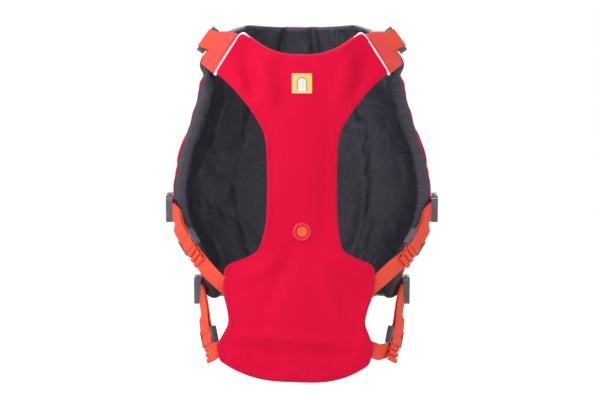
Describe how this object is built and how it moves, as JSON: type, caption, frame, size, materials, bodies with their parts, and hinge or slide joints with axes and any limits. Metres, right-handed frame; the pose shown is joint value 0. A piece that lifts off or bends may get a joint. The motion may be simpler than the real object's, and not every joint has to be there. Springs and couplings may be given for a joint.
{
  "type": "dog life jacket",
  "caption": "Buoyancy jacket for a dog: padded saddle and belly panel joined by webbing straps with side-release buckles, with a grab handle and a leash ring.",
  "frame": {"origin": "middle of the wearer's space, halfway up between the belly panel and the saddle", "axes": "+Z to the neck end, -Y out through the belly panel, +Y out through the back, +X to the right as the belly panel is faced"},
  "size_m": [0.3552, 0.2574, 0.4615],
  "materials": {
    "shell_red": "matte",
    "lining_charcoal": "satin",
    "webbing_orange": "matte",
    "sleeve_coral": "satin",
    "buckle_grey": "satin",
    "reflective_pale": "satin",
    "badge_yellow": "satin",
    "eyelet_red": "satin",
    "eyelet_orange": "satin",
    "ring_steel": "polished",
    "patch_grey": "matte",
    "foam_soft": "matte"
  },
  "bodies": {
    "saddle": {"saddle_shell": "shell_red", "saddle_lining": "lining_charcoal", "flank_foam_left": "foam_soft", "flank_foam_right": "foam_soft", "spine_foam": "foam_soft", "collar_foam_left": "foam_soft", "collar_foam_center": "foam_soft", "collar_foam_right": "foam_soft", "handle_patch_front": "patch_grey", "handle_patch_rear": "patch_grey", "leash_ring_tab": "webbing_orange", "light_loop": "patch_grey", "reflective_strip_left": "reflective_pale", "reflective_strip_right": "reflective_pale", "neck_socket_left": "buckle_grey", "neck_anchor_left": "webbing_orange", "upper_socket_left": "buckle_grey", "upper_tab_left": "webbing_orange", "lower_socket_left": "buckle_grey", "lower_tab_left": "webbing_orange", "neck_socket_right": "buckle_grey", "neck_anchor_right": "webbing_orange", "upper_socket_right": "buckle_grey", "upper_tab_right": "webbing_orange", "lower_socket_right": "buckle_grey", "lower_tab_right": "webbing_orange"},
    "belly_panel": {"belly_shell": "shell_red", "belly_lining": "lining_charcoal", "chest_foam": "foam_soft", "belly_foam": "foam_soft", "chest_badge": "badge_yellow", "eyelet_ring": "eyelet_red", "eyelet_disc": "eyelet_orange", "shoulder_piping_left": "reflective_pale", "neck_sleeve_left": "sleeve_coral", "upper_strap_left": "webbing_orange", "lower_strap_left": "webbing_orange", "shoulder_piping_right": "reflective_pale", "neck_sleeve_right": "sleeve_coral", "upper_strap_right": "webbing_orange", "lower_strap_right": "webbing_orange"},
    "grab_handle": {"grab_handle": "webbing_orange"},
    "leash_ring": {"leash_ring": "ring_steel"},
    "neck_plug_left": {"neck_plug_left": "buckle_grey", "neck_webbing_left": "webbing_orange"},
    "upper_plug_left": {"upper_plug_left": "buckle_grey"},
    "upper_glide_left": {"upper_glide_left": "buckle_grey"},
    "lower_plug_left": {"lower_plug_left": "buckle_grey"},
    "lower_glide_left": {"lower_glide_left": "buckle_grey"},
    "neck_plug_right": {"neck_plug_right": "buckle_grey", "neck_webbing_right": "webbing_orange"},
    "upper_plug_right": {"upper_plug_right": "buckle_grey"},
    "upper_glide_right": {"upper_glide_right": "buckle_grey"},
    "lower_plug_right": {"lower_plug_right": "buckle_grey"},
    "lower_glide_right": {"lower_glide_right": "buckle_grey"}
  },
  "joints": [
    {"name": "belly_panel_swing", "type": "hinge", "parent": "saddle", "child": "belly_panel", "pos_m": [0, -0.038, 0.207], "axis": [-1, 0, 0], "range_deg": [0, 90], "deforming": ["neck_sleeve_left", "neck_sleeve_right"]},
    {"name": "neck_plug_release_left", "type": "slide", "parent": "saddle", "child": "neck_plug_left", "axis": [0.0503, -0.9955, -0.0804], "range_m": [0, 0.02]},
    {"name": "upper_plug_release_left", "type": "slide", "parent": "belly_panel", "child": "upper_plug_left", "axis": [0, -0.9847, -0.174], "range_m": [0, 0.02], "deforming": ["upper_strap_left"]},
    {"name": "upper_glide_slide_left", "type": "slide", "parent": "belly_panel", "child": "upper_glide_left", "axis": [-0.499, 0.4192, 0.7585], "range_m": [-0.01, 0.01]},
    {"name": "lower_plug_release_left", "type": "slide", "parent": "belly_panel", "child": "lower_plug_left", "axis": [0, -0.9931, -0.1172], "range_m": [0, 0.02], "deforming": ["lower_strap_left"]},
    {"name": "lower_glide_slide_left", "type": "slide", "parent": "belly_panel", "child": "lower_glide_left", "axis": [-0.1998, 0.2797, 0.9391], "range_m": [-0.01, 0.01]},
    {"name": "neck_plug_release_right", "type": "slide", "parent": "saddle", "child": "neck_plug_right", "axis": [-0.0503, -0.9955, -0.0804], "range_m": [0, 0.02]},
    {"name": "upper_plug_release_right", "type": "slide", "parent": "belly_panel", "child": "upper_plug_right", "axis": [0, -0.9847, -0.174], "range_m": [0, 0.02], "deforming": ["upper_strap_right"]},
    {"name": "upper_glide_slide_right", "type": "slide", "parent": "belly_panel", "child": "upper_glide_right", "axis": [0.499, 0.4192, 0.7585], "range_m": [-0.01, 0.01]},
    {"name": "lower_plug_release_right", "type": "slide", "parent": "belly_panel", "child": "lower_plug_right", "axis": [0, -0.9931, -0.1172], "range_m": [0, 0.02], "deforming": ["lower_strap_right"]},
    {"name": "lower_glide_slide_right", "type": "slide", "parent": "belly_panel", "child": "lower_glide_right", "axis": [0.1998, 0.2797, 0.9391], "range_m": [-0.01, 0.01]},
    {"name": "grab_handle_flop", "type": "hinge", "parent": "saddle", "child": "grab_handle", "pos_m": [0, 0.1166, 0.061], "axis": [0, 0, 1], "range_deg": [-20, 20]},
    {"name": "leash_ring_swing", "type": "hinge", "parent": "saddle", "child": "leash_ring", "pos_m": [0, 0.1151, 0.168], "axis": [1, 0, 0], "range_deg": [0, 150]}
  ]
}
